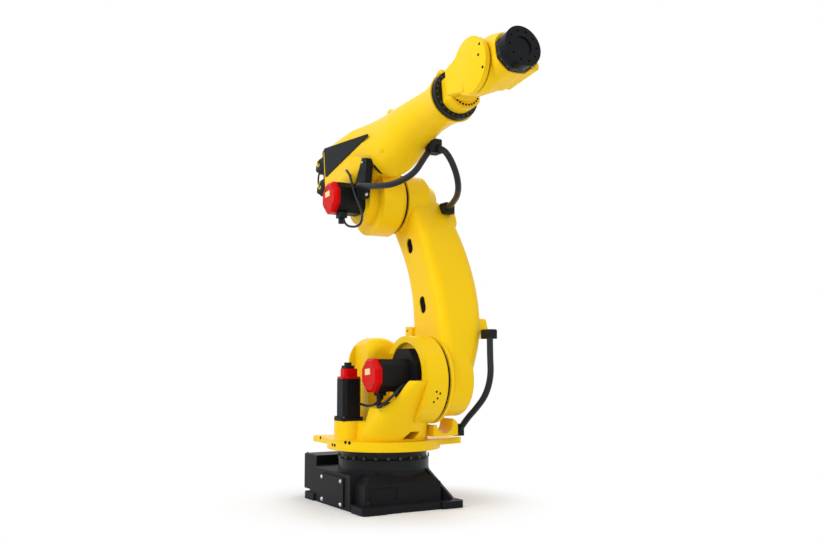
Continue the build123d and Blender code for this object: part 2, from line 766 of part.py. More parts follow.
def hose(name, route):
    """Sweep one hose along its route, with each arc as large as its two runs allow."""
    points = [Vector(*point) for point in route]
    radii = []
    for before, corner, after in zip(points, points[1:], points[2:]):
        turn = (corner - before).get_angle(after - corner)
        shorter = min((corner - before).length, (after - corner).length)
        radii.append(0.45 * shorter / tan(radians(turn / 2)))
    with BuildPart() as tube:
        with BuildLine() as line:
            FilletPolyline(*points, radius=radii)
        with BuildSketch(Plane(origin=points[0], z_dir=points[1] - points[0])):
            Circle(hose_diameter / 2)
        sweep(path=line.wire())
    print(name, "radii", [round(radius) for radius in radii], "length", round(line.wire().length))
    print(name, "volume", tube.part.volume / (line.wire().length * pi * hose_diameter**2 / 4))
    tube.part.label = name
    export_step(tube.part, f"parts/{name}.step")
    return tube.part


def hose_block(name, middle, size, casting, hoses):
    """Write the block that clamps a hose end, cut to the casting that carries it."""
    with BuildPart() as block:
        with BuildSketch(Plane.XY.offset(middle[2] - size[2] / 2)):
            with Locations((middle[0], middle[1])):
                RectangleRounded(size[0], size[1], 10)
        extrude(amount=size[2])
        chamfer(block.edges().group_by(Axis.Z)[-1], 6)
        add(casting, mode=Mode.SUBTRACT)
        for tube in hoses:
            add(tube, mode=Mode.SUBTRACT)
    block.part.label = name
    export_step(block.part, f"parts/{name}.step")


shoulder_hose = hose("shoulder_hose", shoulder_route)
elbow_hose = hose("elbow_hose", elbow_route)
forearm_hose = hose("forearm_hose", forearm_route)
hose_block("shoulder_hose_clamp", (464, 452, 1000), (96, 58, 56), lower_arm_casting.part, [shoulder_hose])
hose_block("elbow_hose_clamp", (92, 398, 1796), (84, 70, 70), lower_arm_casting.part, [elbow_hose])
hose_block(
    "forearm_hose_clamp", (440, 88, 2084), (76, 78, 84), forearm_casting.part, [elbow_hose, forearm_hose]
)
hose_block(
    "turret_hose_clamp", (268, bracket_right + 34, 436), (64, 68, 68), turret_casting.part, [shoulder_hose]
)

# Wrist

bend_far = bend_seam - bend_gap - bend_disc

neck_end = bend_distance - bend_swing + 4
cheek_middle = (bend_far + bend_seam - bend_gap) / 2
cheek_width = bend_seam - bend_gap - bend_far

with BuildPart() as wrist_hub:
    with BuildSketch(fore_plane(fore_half + seat_gap)):
        Circle(hub_radius)
        Rectangle(2 * hub_flat, 3 * hub_radius, mode=Mode.INTERSECT)
    extrude(amount=hub_length - fore_half - seat_gap)
    with BuildSketch(fore_plane(hub_length)):
        with Locations((-8, 0)):
            Circle(neck_radius)
    with BuildSketch(fore_plane(neck_end)):
        with Locations(((bend_far + neck_far) / 2, -8)):
            RectangleRounded(neck_far - bend_far, 2 * neck_radius - 6, 34)
    loft()
    with BuildSketch(fore_plane(neck_end)):
        with Locations((cheek_middle, -8)):
            RectangleRounded(cheek_width, 2 * neck_radius - 6, 10)
    with BuildSketch(fore_plane(bend_distance - 60)):
        with Locations((cheek_middle, -8)):
            RectangleRounded(cheek_width - 8, 3 * neck_radius - 6, 10)
    loft()
    with BuildSketch(Plane(origin=bend_centre, x_dir=(1, 0, 0), z_dir=(0, 0, 1))):
        with BuildLine():
            Polyline(
                (0, bend_seam - bend_gap),
                (cheek_radius, bend_seam - bend_gap),
                (cheek_radius, bend_seam - bend_gap - cheek_edge),
            )
            ThreePointArc(
                (cheek_radius, bend_seam - bend_gap - cheek_edge),
                (0.6 * cheek_radius, bend_far + 0.3 * (bend_disc - cheek_edge)),
                (0, bend_far),
            )
            Line((0, bend_far), (0, bend_seam - bend_gap))
        make_face()
    revolve(axis=Axis(bend_centre, (0, 1, 0)))
    with BuildSketch(side_plane(260, bend_centre.X, bend_centre.Z)):
        Circle(bend_swing)
    extrude(amount=260 - bend_seam + bend_gap, mode=Mode.SUBTRACT)
wrist_hub.part.label = "wrist_hub"
export_step(wrist_hub.part, "parts/wrist_hub.step")

with BuildPart() as bend_ring:
    with BuildSketch(side_plane(bend_seam + bend_gap - seat_gap, bend_centre.X, bend_centre.Z)):
        Circle(bend_radius - 10)
    extrude(amount=2 * bend_gap - seat_gap)
bend_ring.part.label = "bend_ring"
export_step(bend_ring.part, "parts/bend_ring.step")

# Sections of the wrist housing along the tool axis: station, half width, top, bottom, corner
housing_sections = (
    (8, 92, 146, -112, 56),
    (104, 94, 141, -108, 66),
    (tool_ring_start, 106, 114, -106, 96),
)

with BuildPart() as wrist_housing:
    with BuildSketch(side_plane(bend_seam + bend_gap + 46, bend_centre.X, bend_centre.Z)):
        Circle(bend_radius)
    extrude(amount=46)
    with BuildSketch(side_plane(housing_far, bend_centre.X, bend_centre.Z)):
        Circle(far_radius)
    with BuildSketch(side_plane(bend_seam + bend_gap + 46, bend_centre.X, bend_centre.Z)):
        Circle(bend_radius)
    loft()
    for station, half_width, high, low, corner in housing_sections:
        with BuildSketch(tool_plane(station)):
            with Locations((0, (high + low) / 2)):
                RectangleRounded(2 * half_width, high - low, corner)
    loft()
    with BuildSketch(tool_plane(14)):
        with Locations((68, -76)):
            RectangleRounded(76, 50, 16)
    extrude(amount=lug_reach - 14)
    with BuildSketch(tool_plane(tool_ring_start)):
        Circle(tool_ring_radius / cos(radians(22.5)) + casting_gap / 2)
    extrude(amount=120, mode=Mode.SUBTRACT)
wrist_housing.part.label = "wrist_housing"
export_step(wrist_housing.part, "parts/wrist_housing.step")

with BuildPart() as tool_ring:
    with BuildSketch(tool_plane(tool_ring_start)):
        RegularPolygon(tool_ring_radius, 8, major_radius=False, rotation=22.5)
    extrude(amount=tool_ring_thickness)
tool_ring.part.label = "tool_ring"
export_step(tool_ring.part, "parts/tool_ring.step")

with BuildPart() as tool_flange:
    with BuildSketch(tool_plane(tool_ring_start + tool_ring_thickness + seat_gap)):
        Circle(tool_radius)
    extrude(amount=tool_distance - tool_ring_start - tool_ring_thickness - seat_gap)
    with BuildSketch(tool_plane(tool_distance)):
        Circle(tool_bore_radius)
    extrude(amount=-tool_bore_depth, mode=Mode.SUBTRACT)
    with BuildSketch(tool_plane(tool_distance)):
        with PolarLocations(tool_bolt_circle / 2, tool_bolts):
            Circle(tool_bolt_hole)
    extrude(amount=-18, mode=Mode.SUBTRACT)
tool_flange.part.label = "tool_flange"
export_step(tool_flange.part, "parts/tool_flange.step")
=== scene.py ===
"""Looks of a yellow industrial robot arm: finishes, fasteners, hoses and cables on its solids."""

import json
import logging
import math
from dataclasses import dataclass, field
from enum import Enum
from typing import Sequence

import bmesh
import bpy
from mathutils import Matrix, Vector


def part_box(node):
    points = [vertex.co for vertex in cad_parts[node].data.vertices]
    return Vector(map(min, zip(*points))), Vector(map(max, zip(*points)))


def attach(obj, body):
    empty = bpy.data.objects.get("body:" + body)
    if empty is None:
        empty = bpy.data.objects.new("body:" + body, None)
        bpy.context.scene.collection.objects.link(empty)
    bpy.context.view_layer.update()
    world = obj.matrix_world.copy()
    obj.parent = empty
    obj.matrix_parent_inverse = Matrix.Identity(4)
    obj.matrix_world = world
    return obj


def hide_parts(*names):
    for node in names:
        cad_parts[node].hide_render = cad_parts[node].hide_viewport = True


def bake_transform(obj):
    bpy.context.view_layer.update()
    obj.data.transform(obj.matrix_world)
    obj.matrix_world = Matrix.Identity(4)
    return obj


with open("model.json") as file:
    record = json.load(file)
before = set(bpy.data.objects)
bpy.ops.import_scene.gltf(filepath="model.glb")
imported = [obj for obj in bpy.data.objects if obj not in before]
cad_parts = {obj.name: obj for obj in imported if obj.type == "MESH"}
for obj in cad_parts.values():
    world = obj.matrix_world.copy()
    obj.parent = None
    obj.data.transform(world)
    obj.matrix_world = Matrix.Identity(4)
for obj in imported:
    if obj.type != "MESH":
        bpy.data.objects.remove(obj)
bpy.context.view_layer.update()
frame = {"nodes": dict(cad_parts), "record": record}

log = logging.getLogger("robot_arm")

Colour = tuple[float, float, float]
Profile = Sequence[tuple[float, float]]
Route = tuple[tuple[float, float, float], ...]
Spots = tuple[tuple[float, float], ...]
Loops = list[list[bmesh.types.BMVert]]

# The photograph, in pixels
PHOTO_WIDTH = 822
PHOTO_HEIGHT = 540
PHOTO_FOCUS = 902.6

# Shared by all finishes
SHADE_SCALE = 2.2
SHADE_DETAIL = 3.0
GRAIN_DETAIL = 2.0
GRAIN_DEPTH = 0.0006
EDGE_SAMPLES = 4

# How far small pieces reach into what carries them, in metres
SINK = 0.002

# Smoothness of round pieces
CRISP_ANGLE = math.radians(32)
SCREW_SIDES = 24
SOCKET_SIDES = 32
HOLE_SIDES = 20
TUBE_STEPS = 10
TUBE_ROUNDING = 6

FORWARD = Vector((1, 0, 0))
SIDEWAYS = Vector((0, 1, 0))
UPWARD = Vector((0, 0, 1))


class Slot(Enum):
    """Material slots of the record, given with the added pieces."""

    YELLOW = "yellow_paint"
    RED = "motor_red"
    STEEL = "dark_steel"
    PLASTIC = "black_plastic"
    HOSE = "hose_rubber"


class Body(Enum):
    """Bodies that carry added pieces."""

    BASE = "base"
    TURRET = "turret"
    LOWER_ARM = "lower_arm"
    FOREARM = "forearm"
    WRIST_ROLL = "wrist_roll"
    WRIST_PITCH = "wrist_pitch"


class Ray(Enum):
    """Rays to which the background is plain white."""

    CAMERA = "Is Camera Ray"
    GLOSSY = "Is Glossy Ray"
    TRANSMISSION = "Is Transmission Ray"


# Finishes


@dataclass(frozen=True)
class Graph:
    """A node tree that is filled step by step.

    Args:
        tree: The tree, which is emptied first.
    """

    tree: bpy.types.NodeTree

    def __post_init__(self) -> None:
        """Empties the tree."""
        self.tree.nodes.clear()

    def node(
        self, kind: str, values: dict[str, object] | None = None, **settings: object
    ) -> bpy.types.Node:
        """Adds a node.

        Args:
            kind: Blender's name for the node.
            values: Values of its input sockets.
            **settings: The node's own settings, made before the values.

        Returns:
            The node.
        """
        node = self.tree.nodes.new(kind)
        for key, value in settings.items():
            setattr(node, key, value)
        for key, value in (values or {}).items():
            node.inputs[key].default_value = value
        return node

    def link(self, source: bpy.types.NodeSocket, target: bpy.types.NodeSocket) -> None:
        """Joins two sockets.

        Args:
            source: The output socket.
            target: The input socket.
        """
        self.tree.links.new(source, target)


@dataclass(frozen=True)
class Finish:
    """One procedural finish.

    Args:
        name: Name of the material.
        colour: Base colour, linear.
        shade: Second colour that a broad noise mixes in.
        roughness: Lowest and highest roughness.
        metallic: Share of metal.
        ior: Index of refraction, which sets the plain reflection.
        tint: Colour of that reflection.
        grain: Scale of the fine surface grain, per metre.
        relief: Strength of the grain's bump.
        edge: Radius by which sharp edges look rounded, in metres.
    """

    name: str
    colour: Colour
    shade: Colour
    roughness: tuple[float, float] = (0.35, 0.5)
    metallic: float = 0.0
    ior: float = 1.22
    tint: Colour = (1.0, 1.0, 1.0)
    grain: float = 260.0
    relief: float = 0.08
    edge: float = 0.0

    def material(self) -> bpy.types.Material:
        """Makes the material, or finds it where it is made already.

        Returns:
            The material.
        """
        found = bpy.data.materials.get(self.name)
        if found:
            return found
        material = bpy.data.materials.new(self.name)
        material.use_nodes = True
        graph = Graph(material.node_tree)
        place = graph.node("ShaderNodeTexCoord").outputs["Object"]
        broad = graph.node("ShaderNodeTexNoise", {"Scale": SHADE_SCALE, "Detail": SHADE_DETAIL})
        fine = graph.node("ShaderNodeTexNoise", {"Scale": self.grain, "Detail": GRAIN_DETAIL})
        colours = {"A": (*self.colour, 1.0), "B": (*self.shade, 1.0)}
        mix = graph.node("ShaderNodeMix", colours, data_type="RGBA")
        low, high = self.roughness
        polish = graph.node("ShaderNodeMapRange", {"To Min": low, "To Max": high})
        bump = graph.node("ShaderNodeBump", {"Strength": self.relief, "Distance": GRAIN_DEPTH})
        own = {"Metallic": self.metallic, "IOR": self.ior, "Specular Tint": (*self.tint, 1.0)}
        shader = graph.node("ShaderNodeBsdfPrincipled", own)
        output = graph.node("ShaderNodeOutputMaterial")
        graph.link(place, broad.inputs["Vector"])
        graph.link(place, fine.inputs["Vector"])
        graph.link(broad.outputs["Fac"], mix.inputs["Factor"])
        graph.link(mix.outputs["Result"], shader.inputs["Base Color"])
        graph.link(broad.outputs["Fac"], polish.inputs["Value"])
        graph.link(polish.outputs["Result"], shader.inputs["Roughness"])
        graph.link(fine.outputs["Fac"], bump.inputs["Height"])
        if self.edge:
            rounded = graph.node("ShaderNodeBevel", {"Radius": self.edge}, samples=EDGE_SAMPLES)
            graph.link(rounded.outputs["Normal"], bump.inputs["Normal"])
        graph.link(bump.outputs["Normal"], shader.inputs["Normal"])
        graph.link(shader.outputs["BSDF"], output.inputs["Surface"])
        return material

    def dress(self, *nodes: str) -> None:
        """Gives the finish to CAD nodes.

        Args:
            *nodes: Names of the nodes.
        """
        for node in nodes:
            mesh = frame["nodes"][node].data
            mesh.materials.clear()
            mesh.materials.append(self.material())
            log.info("finish %s on %s", self.name, node)


CASTING_YELLOW = Finish(
    "casting_yellow",
    (0.955, 0.630, 0.009),
    (0.910, 0.565, 0.007),
    (0.32, 0.44),
    ior=1.34,
    tint=(1.0, 0.80, 0.16),
    grain=180.0,
    edge=0.007,
)
BASE_BLACK = Finish(
    "base_black",
    (0.0075, 0.0080, 0.0095),
    (0.0110, 0.0118, 0.0135),
    (0.42, 0.56),
    ior=1.19,
    grain=210.0,
    edge=0.005,
)
MOTOR_BLACK = Finish(
    "enamel_black",
    (0.0065, 0.0065, 0.0070),
    (0.0105, 0.0105, 0.0110),
    (0.38, 0.55),
    ior=1.2,
    edge=0.002,
)
MOTOR_RED = Finish(
    "enamel_red",
    (0.68, 0.003, 0.004),
    (0.58, 0.002, 0.003),
    (0.3, 0.42),
    ior=1.2,
    tint=(1.0, 0.35, 0.3),
    edge=0.003,
)
RING_STEEL = Finish(
    "ring_steel",
    (0.0075, 0.0085, 0.0100),
    (0.0130, 0.0145, 0.0165),
    (0.26, 0.40),
    ior=1.24,
    edge=0.002,
)
FLANGE_BLACK = Finish(
    "flange_black",
    (0.0028, 0.0034, 0.0042),
    (0.0060, 0.0070, 0.0085),
    (0.16, 0.30),
    ior=1.2,
    relief=0.03,
    edge=0.002,
)
MOULDED_BLACK = Finish(
    "moulded_black",
    (0.0095, 0.0105, 0.0130),
    (0.0145, 0.0160, 0.0190),
    (0.45, 0.6),
    edge=0.006,
)
HOSE_BLACK = Finish(
    "hose_black",
    (0.0105, 0.0125, 0.0170),
    (0.0160, 0.0185, 0.0240),
    (0.34, 0.48),
    ior=1.3,
    grain=420.0,
)
BOLT_STEEL = Finish("bolt_steel", (0.60, 0.61, 0.62), (0.50, 0.51, 0.52), (0.22, 0.34), 0.95, 1.5)
BOLT_BLACK = Finish(
    "bolt_black", (0.048, 0.050, 0.055), (0.070, 0.072, 0.078), (0.3, 0.42), 0.5, 1.4
)
# Painted shade: near-black for the inside of holes, where light does not reach.
PAINTED_HOLE_SHADE = Finish("hole_painted_shade", (0.006, 0.006, 0.006), (0.010, 0.009, 0.008), (0.7, 0.85), ior=1.1)
# Painted shade: a shaded brown of the yellow casting, for the inside of an opening.
PAINTED_OPENING_SHADE = Finish(
    "opening_painted_shade", (0.060, 0.036, 0.004), (0.035, 0.021, 0.003), (0.7, 0.85), ior=1.1
)
HOOK_YELLOW = Finish("hook_yellow", (0.80, 0.66, 0.02), (0.72, 0.58, 0.015), (0.35, 0.45))
LABEL_PALE = Finish("label_pale", (0.84, 0.70, 0.36), (0.80, 0.66, 0.32), (0.4, 0.5))


# Places


@dataclass(frozen=True)
class Seat:
    """A point on a surface and the way out of it.

    Args:
        point: The point, in metres.
        out: Unit vector away from the surface.
        across: A direction in the surface, or None for any.
    """

    point: Vector
    out: Vector
    across: Vector | None = None

    def axes(self) -> tuple[Vector, Vector, Vector]:
        """Gives two directions in the surface and the one out of it.

        Returns:
            The three axes, square to each other.
        """
        steep = 0.9
        z = self.out.normalized()
        hint = self.across or (UPWARD if abs(z.z) < steep else FORWARD)
        x = (hint - z * hint.dot(z)).normalized()
        return x, z.cross(x), z

    def matrix(self) -> Matrix:
        """Returns the matrix whose z axis points out of the surface."""
        return Matrix.Translation(self.point) @ Matrix(self.axes()).transposed().to_4x4()


@dataclass(frozen=True)
class Axle:
    """The axis of a joint.

    Args:
        origin: Point on the axis, in metres.
        along: Direction of the axis.
    """

    origin: Vector
    along: Vector

    @classmethod
    def of(cls, name: str) -> "Axle":
        """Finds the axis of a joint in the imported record.

        Args:
            name: Name of the joint.

        Returns:
            Its axis, moved sideways into the plane of the arm.
        """
        joints = frame["record"]["behaviour"]["joints"]
        joint = next(joint for joint in joints if joint["name"] == name)
        x, _, z = joint["pos_m"]
        return cls(Vector((x, 0, z)), Vector(joint["axis"]))

    @property
    def up(self) -> Vector:
        """Returns the direction in the plane of the arm that is square to the axis."""
        return Vector((-self.along.z, 0, self.along.x))

    def at(self, station: float) -> Vector:
        """Gives a point on the axis.

        Args:
            station: Distance along the axis.

        Returns:
            The point, in metres.
        """
        return self.origin + self.along * station


def directions(first: Vector, second: Vector, count: int, start: float = 0.0) -> list[Vector]:
    """Spreads directions evenly around a circle.

    Args:
        first: Direction at no angle.
        second: Direction a quarter turn on.
        count: Number of directions.
        start: Angle of the first one, in degrees.

    Returns:
        The directions.
    """
    turns = [math.radians(start) + 2 * math.pi * i / count for i in range(count)]
    return [first * math.cos(turn) + second * math.sin(turn) for turn in turns]


def circle_seats(
    centre: Vector, out: Vector, radius: float, count: int, start: float = 0.0
) -> list[Seat]:
    """Spreads seats that face one way evenly around a circle.

    Args:
        centre: Centre of the circle.
        out: The way that every seat faces.
        radius: Radius of the circle.
        count: Number of seats.
        start: Angle of the first one, in degrees.

    Returns:
        The seats.
    """
    across, along, _ = Seat(centre, out).axes()
    return [Seat(centre + way * radius, out) for way in directions(across, along, count, start)]


@dataclass(frozen=True)
class View:
    """The photograph's viewpoint.

    Args:
        place: Where the camera stands, in metres.
        turn: Azimuth of the view, in degrees.
        lift: How far the camera looks up, in degrees.
        sensor: Width of the camera's sensor, in millimetres.
        reach: How far the camera sees, in metres.
    """

    place: Vector = field(default_factory=lambda: Vector((4.84629, -2.59856, 0.8478)))
    turn: float = 60.084
    lift: float = 5.7
    sensor: float = 36.0
    reach: float = 60.0

    def axes(self) -> tuple[Vector, Vector, Vector]:
        """Gives the directions of the view.

        Returns:
            Its right, up and forward directions.
        """
        turn, lift = math.radians(self.turn), math.radians(self.lift)
        level = Vector((-math.sin(turn), math.cos(turn), 0))
        ahead = level * math.cos(lift) + UPWARD * math.sin(lift)
        right = Vector((math.cos(turn), math.sin(turn), 0))
        return right, right.cross(ahead), ahead

    def seats(self, spots: Spots, node: str) -> list[Seat]:
        """Finds where points of the photograph lie on a CAD node.

        Args:
            spots: Column and row of each point in the photograph.
            node: Name of the CAD node that carries the points.

        Returns:
            A seat for each point whose line of sight meets the node.
        """
        right, up, ahead = self.axes()
        found = []
        for x, y in spots:
            across = (x - PHOTO_WIDTH / 2) / PHOTO_FOCUS
            down = (y - PHOTO_HEIGHT / 2) / PHOTO_FOCUS
            ray = (ahead + right * across - up * down).normalized()
            hit, point, normal, _ = frame["nodes"][node].ray_cast(self.place, ray)
            if hit:
                found.append(Seat(point, normal))
            else:
                log.warning("the line of sight %s, %s misses %s", x, y, node)
        return found

    def camera(self) -> None:
        """Adds the scene's camera."""
        data = bpy.data.cameras.new("camera")
        data.sensor_fit = "HORIZONTAL"
        data.sensor_width = self.sensor
        data.lens = PHOTO_FOCUS / PHOTO_WIDTH * self.sensor
        data.clip_end = self.reach
        camera = bpy.data.objects.new("camera", data)
        right, up, ahead = self.axes()
        facing = Matrix((right, up, -ahead)).transposed().to_4x4()
        camera.matrix_world = Matrix.Translation(self.place) @ facing
        bpy.context.scene.collection.objects.link(camera)
        bpy.context.scene.camera = camera


VIEW = View()


# Shapes


def skin(bm: bmesh.types.BMesh, loops: Loops) -> None:
    """Joins loops of corners by faces, from the middle of the top outwards and down.

    Args:
        bm: The mesh that holds the corners.
        loops: Loops of corners, of which the first may be a single point.
    """
    for inner, outer in zip(loops, loops[1:]):
        for i, corner in enumerate(outer):
            j = (i + 1) % len(outer)
            if len(inner) == 1:
                bm.faces.new((inner[0], corner, outer[j]))
            else:
                bm.faces.new((inner[i], corner, outer[j], inner[j]))


def released(bm: bmesh.types.BMesh, name: str) -> bpy.types.Mesh:
    """Turns an edited mesh into a finished one.

    Args:
        bm: The edited mesh, which is freed.
        name: Name of the finished one.

    Returns:
        The finished mesh.
    """
    mesh = bpy.data.meshes.new(name)
    bm.to_mesh(mesh)
    bm.free()
    return mesh


def tube_mesh(name: str, route: Route, thick: float) -> bpy.types.Mesh:
    """Makes a round tube along a smooth route.

    Args:
        name: Name of the mesh.
        route: Control points, in metres.
        thick: Radius of the tube, or 0 for its centre line only.

    Returns:
        The mesh.
    """
    curve = bpy.data.curves.new(name, "CURVE")
    curve.dimensions = "3D"
    curve.resolution_u = TUBE_STEPS
    curve.bevel_depth = thick
    curve.bevel_resolution = TUBE_ROUNDING
    curve.use_fill_caps = True
    spline = curve.splines.new("NURBS")
    spline.points.add(len(route) - 1)
    for point, place in zip(spline.points, route):
        point.co = (*place, 1.0)
    spline.order_u = 3
    spline.use_endpoint_u = True
    holder = bpy.data.objects.new(name, curve)
    mesh = bpy.data.meshes.new_from_object(holder)
    bpy.data.objects.remove(holder)
    bpy.data.curves.remove(curve)
    for face in mesh.polygons:
        face.use_smooth = True
    return mesh


def cap_screw(radius: float, height: float) -> Profile:
    """Gives the profile of a cap screw with a round-looking socket.

    Args:
        radius: Radius of the head.
        height: Height of the head.

    Returns:
        The profile.
    """
    edge = radius * 0.12
    floor = height * 0.45
    return (
        (0, floor),
        (radius * 0.5, floor),
        (radius * 0.56, height),
        (radius - edge, height),
        (radius, height - edge),
        (radius, -SINK),
    )


def drilled_hole(radius: float) -> Profile:
    """Gives the profile of a shallow disc that stands for a drilled hole's mouth; its dark finish
    is painted shade.

    Args:
        radius: Radius of the hole.

    Returns:
        The profile.
    """
    floor, rim = 0.0003, 0.0008
    return (
        (0, floor),
        (radius * 0.9, floor),
        (radius, rim),
        (radius * 1.08, rim / 2),
        (radius * 1.1, -SINK),
    )


def washer_bolt(radius: float, height: float) -> Profile:
    """Gives the profile of a bolt head on its washer.

    Args:
        radius: Radius of the washer.
        height: Height of the head.

    Returns:
        The profile.
    """
    head, washer = radius * 0.66, height * 0.25
    return (
        (0, height),
        (radius * 0.58, height),
        (head, height * 0.88),
        (head, washer),
        (radius * 0.96, washer),
        (radius, height * 0.18),
        (radius, -SINK),
    )


def panel_socket(radius: float) -> Profile:
    """Gives the profile of a round connector with a groove behind its rim.

    Args:
        radius: Radius of the connector.

    Returns:
        The profile.
    """
    face, groove, rim = 0.004, 0.001, 0.006
    return (
        (0, face),
        (radius * 0.62, face),
        (radius * 0.66, groove),
        (radius * 0.74, groove),
        (radius * 0.80, rim),
        (radius * 0.97, rim),
        (radius, face),
        (radius, -SINK),
    )


@dataclass(frozen=True)
class Piece:
    """What an added piece is called, how it looks and what carries it.

    Args:
        name: Name of the piece.
        finish: Its finish.
        slot: The record's slot for it; not used.
        body: The body it rides on, or None where it lies between two and rides on neither.
    """

    name: str
    finish: Finish
    slot: Slot
    body: Body | None

    def add(self, mesh: bpy.types.Mesh) -> bpy.types.Object:
        """Puts the piece in the scene.

        Args:
            mesh: Its mesh, in the frame that all pieces share.

        Returns:
            The new object.
        """
        mesh.materials.append(self.finish.material())
        piece = bpy.data.objects.new(self.name, mesh)
        bpy.context.scene.collection.objects.link(piece)
        if self.body:
            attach(piece, self.body.value)
        log.info("piece %s", self.name)
        return piece

    def turned(self, profile: Profile, seats: Sequence[Seat], sides: int = SCREW_SIDES) -> None:
        """Makes the piece of like bodies, each turned from one profile, on their seats.

        Args:
            profile: Radius and height of each corner, from the middle out and down.
            seats: Where the copies stand.
            sides: Number of sides of each copy.
        """
        bm = bmesh.new()
        for seat in seats:
            across, along, out = seat.axes()
            loops = []
            for radius, height in profile:
                middle = seat.point + out * height
                ways = directions(across, along, sides if radius else 1)
                loops.append([bm.verts.new(middle + way * radius) for way in ways])
            skin(bm, loops)
        for edge in bm.edges:
            edge.smooth = len(edge.link_faces) == 2 and edge.calc_face_angle(0) < CRISP_ANGLE
        for face in bm.faces:
            face.smooth = True
        self.add(released(bm, self.name))

    def plate(self, seat: Seat, size: tuple[float, float, float], corner: float) -> None:
        """Makes the piece a plate with round corners and a softened rim.

        Args:
            seat: Middle of its underside and the way out.
            size: Length across, width and thickness.
            corner: Radius of the corners.
        """
        length, width, thick = size
        rim = min(thick * 0.35, corner * 0.5)
        half_x, half_y = length / 2 - corner, width / 2 - corner
        middles = ((half_x, half_y), (-half_x, half_y), (-half_x, -half_y), (half_x, -half_y))
        steps = 6
        place = seat.matrix()
        bm = bmesh.new()
        loops = []
        for radius, height in ((corner - rim, thick), (corner, thick - rim), (corner, -SINK / 2)):
            loop = []
            for quarter, (x, y) in enumerate(middles):
                for step in range(steps + 1):
                    turn = math.pi / 2 * (quarter + step / steps)
                    right, up = radius * math.cos(turn), radius * math.sin(turn)
                    loop.append(bm.verts.new(place @ Vector((x + right, y + up, height))))
            loops.append(loop)
        skin(bm, loops)
        for face in bm.faces:
            face.smooth = True
        bm.faces.new(loops[0])
        self.add(released(bm, self.name))

    def patch(self, seat: Seat, node: str, size: tuple[float, float]) -> None:
        """Lays the piece as a thin oval on a curved surface.

        Args:
            seat: Middle of the oval and the way out.
            node: Name of the CAD node that it lies on.
            size: Length and width of the oval.
        """
        reach, lift, sides, rounds = 0.05, 0.0007, 32, 6
        carrier = frame["nodes"][node]
        across, along, out = seat.axes()
        bm = bmesh.new()
        loops = []
        for step in range(rounds + 1):
            share = step / rounds / 2
            loop = []
            for way in directions(across * size[0], along * size[1], sides if step else 1):
                spot = seat.point + way * share
                hit, point, normal, _ = carrier.ray_cast(spot + out * reach, -out)
                loop.append(bm.verts.new(point + normal * lift if hit else spot + out * lift))
            loops.append(loop)
        skin(bm, loops)
        for face in bm.faces:
            face.smooth = True
        self.add(released(bm, self.name))


@dataclass(frozen=True)
class Flex:
    """A hose or cable on one smooth route.

    Args:
        name: Name of the piece.
        route: Control points, in metres.
        diameter: Outer diameter, in metres.
        length: Real length in metres; not used.
        short: Length below which it is too short to hang loose; not used.
    """

    name: str
    route: Route
    diameter: float
    length: float = 0.0
    short: float = 0.25

    def build(self, body: Body, joins: Body | None = None, stands_for: str = "") -> None:
        """Args:
            body: The body that carries it, where no joint lies between.
            joins: The body at its far end, where a joint lies between; the piece then rides on no
                body.
            stands_for: The CAD node that it stands for.
        """
        line = [vertex.co.copy() for vertex in tube_mesh(self.name, self.route, 0.0).vertices]
        piece = Piece(self.name, HOSE_BLACK, Slot.HOSE, None if joins else body)
        tube = piece.add(tube_mesh(self.name, self.route, self.diameter / 2))
        if joins:
            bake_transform(tube)
        if stands_for:
            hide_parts(stands_for)


# Sub-assemblies


